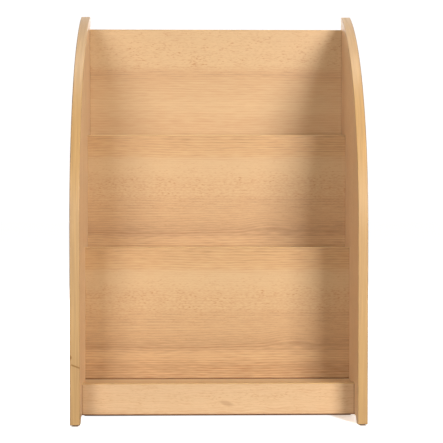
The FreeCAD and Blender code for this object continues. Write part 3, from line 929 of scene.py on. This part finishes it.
class DISPLAY_OT_stage(Operator):
    """Lay the floor and set the lights and the camera."""

    bl_idname = "display.stage"
    bl_label = "Stage"

    def execute(self, context):
        looks = context.scene.stage_looks
        self.lay_floor(context)
        self.light_room(context, looks)
        for *placing, setting, share in LIGHTS:
            soft_light(*placing, getattr(looks, setting) * share)
        self.set_camera(context, looks)
        context.scene.view_settings.view_transform = "Standard"
        return {"FINISHED"}

    def lay_floor(self, context):
        """A level square of floor."""
        signs = ((-1, -1), (1, -1), (1, 1), (-1, 1))
        mesh = bpy.data.meshes.new("floor")
        mesh.from_pydata([(x * FLOOR_REACH, y * FLOOR_REACH, 0) for x, y in signs], [],
                         [(0, 1, 2, 3)])
        floor = bpy.data.objects.new("floor", mesh)
        context.scene.collection.objects.link(floor)
        mesh.materials.append(pale_floor("pale_floor"))

    def light_room(self, context, looks):
        """A background that is white to the camera, dim to reflections and dark to all else."""
        world = bpy.data.worlds.new("studio")
        context.scene.world = world
        world.use_nodes = True
        nodes, links = world.node_tree.nodes, world.node_tree.links
        nodes.clear()
        path = nodes.new("ShaderNodeLightPath")
        strength = looks.daylight
        for ray, brightness in (("Is Camera Ray", BACKDROP), ("Is Glossy Ray", looks.reflected)):
            part = nodes.new("ShaderNodeMath")
            part.operation = "MULTIPLY_ADD"
            links.new(path.outputs[ray], part.inputs[0])
            part.inputs[1].default_value = brightness - looks.daylight
            if isinstance(strength, bpy.types.NodeSocket):
                links.new(strength, part.inputs[2])
            else:
                part.inputs[2].default_value = strength
            strength = part.outputs[0]
        background = nodes.new("ShaderNodeBackground")
        background.inputs["Color"].default_value = (1, 1, 1, 1)
        links.new(strength, background.inputs["Strength"])
        output = nodes.new("ShaderNodeOutputWorld")
        links.new(background.outputs[0], output.inputs["Surface"])

    def set_camera(self, context, looks):
        """A camera in front of the unit, with everything in focus."""
        data = bpy.data.cameras.new("camera")
        data.lens = looks.lens
        data.sensor_width = SENSOR_WIDTH
        data.dof.use_dof = False
        data.clip_start, data.clip_end = 0.1, 60.0
        camera = bpy.data.objects.new("camera", data)
        context.scene.collection.objects.link(camera)
        camera.location = looks.camera_place
        camera.rotation_euler = (math.pi / 2 - looks.camera_pitch, 0, -looks.camera_yaw)
        context.scene.camera = camera


OPERATORS = (
    DISPLAY_OT_side_panels,
    DISPLAY_OT_side_edgings,
    DISPLAY_OT_tier_boards,
    DISPLAY_OT_plinth,
    DISPLAY_OT_board_edgings,
    DISPLAY_OT_joints,
    DISPLAY_OT_glides,
    DISPLAY_OT_stage,
)

SETTINGS = {
    "beech_looks": BeechFaceSettings,
    "edging_looks": EdgingSettings,
    "stage_looks": StageSettings,
}


class DISPLAY_PT_finishes(Panel):
    """The finishes and the studio of the book display unit."""

    bl_idname = "DISPLAY_PT_finishes"
    bl_label = "Book Display"
    bl_space_type = "VIEW_3D"
    bl_region_type = "UI"
    bl_category = "Book Display"

    def draw(self, context):
        for operator in OPERATORS:
            self.layout.operator(operator.bl_idname)
        for name in SETTINGS:
            box = self.layout.box()
            looks = getattr(context.scene, name)
            for key in looks.bl_rna.properties.keys():
                if key not in ("rna_type", "name"):
                    box.prop(looks, key)


def register():
    """Add the settings, the operators and the panel."""
    for group in (*SETTINGS.values(), *OPERATORS, DISPLAY_PT_finishes):
        bpy.utils.register_class(group)
    for name, group in SETTINGS.items():
        setattr(bpy.types.Scene, name, PointerProperty(type=group))


def unregister():
    """Take them away again."""
    for name in SETTINGS:
        delattr(bpy.types.Scene, name)
    for group in (DISPLAY_PT_finishes, *reversed(OPERATORS), *reversed(SETTINGS.values())):
        bpy.utils.unregister_class(group)


def main():
    """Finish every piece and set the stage."""
    register()
    for operator in OPERATORS:
        category, name = operator.bl_idname.split(".")
        getattr(getattr(bpy.ops, category), name)()


if __name__ == "__main__":
    main()
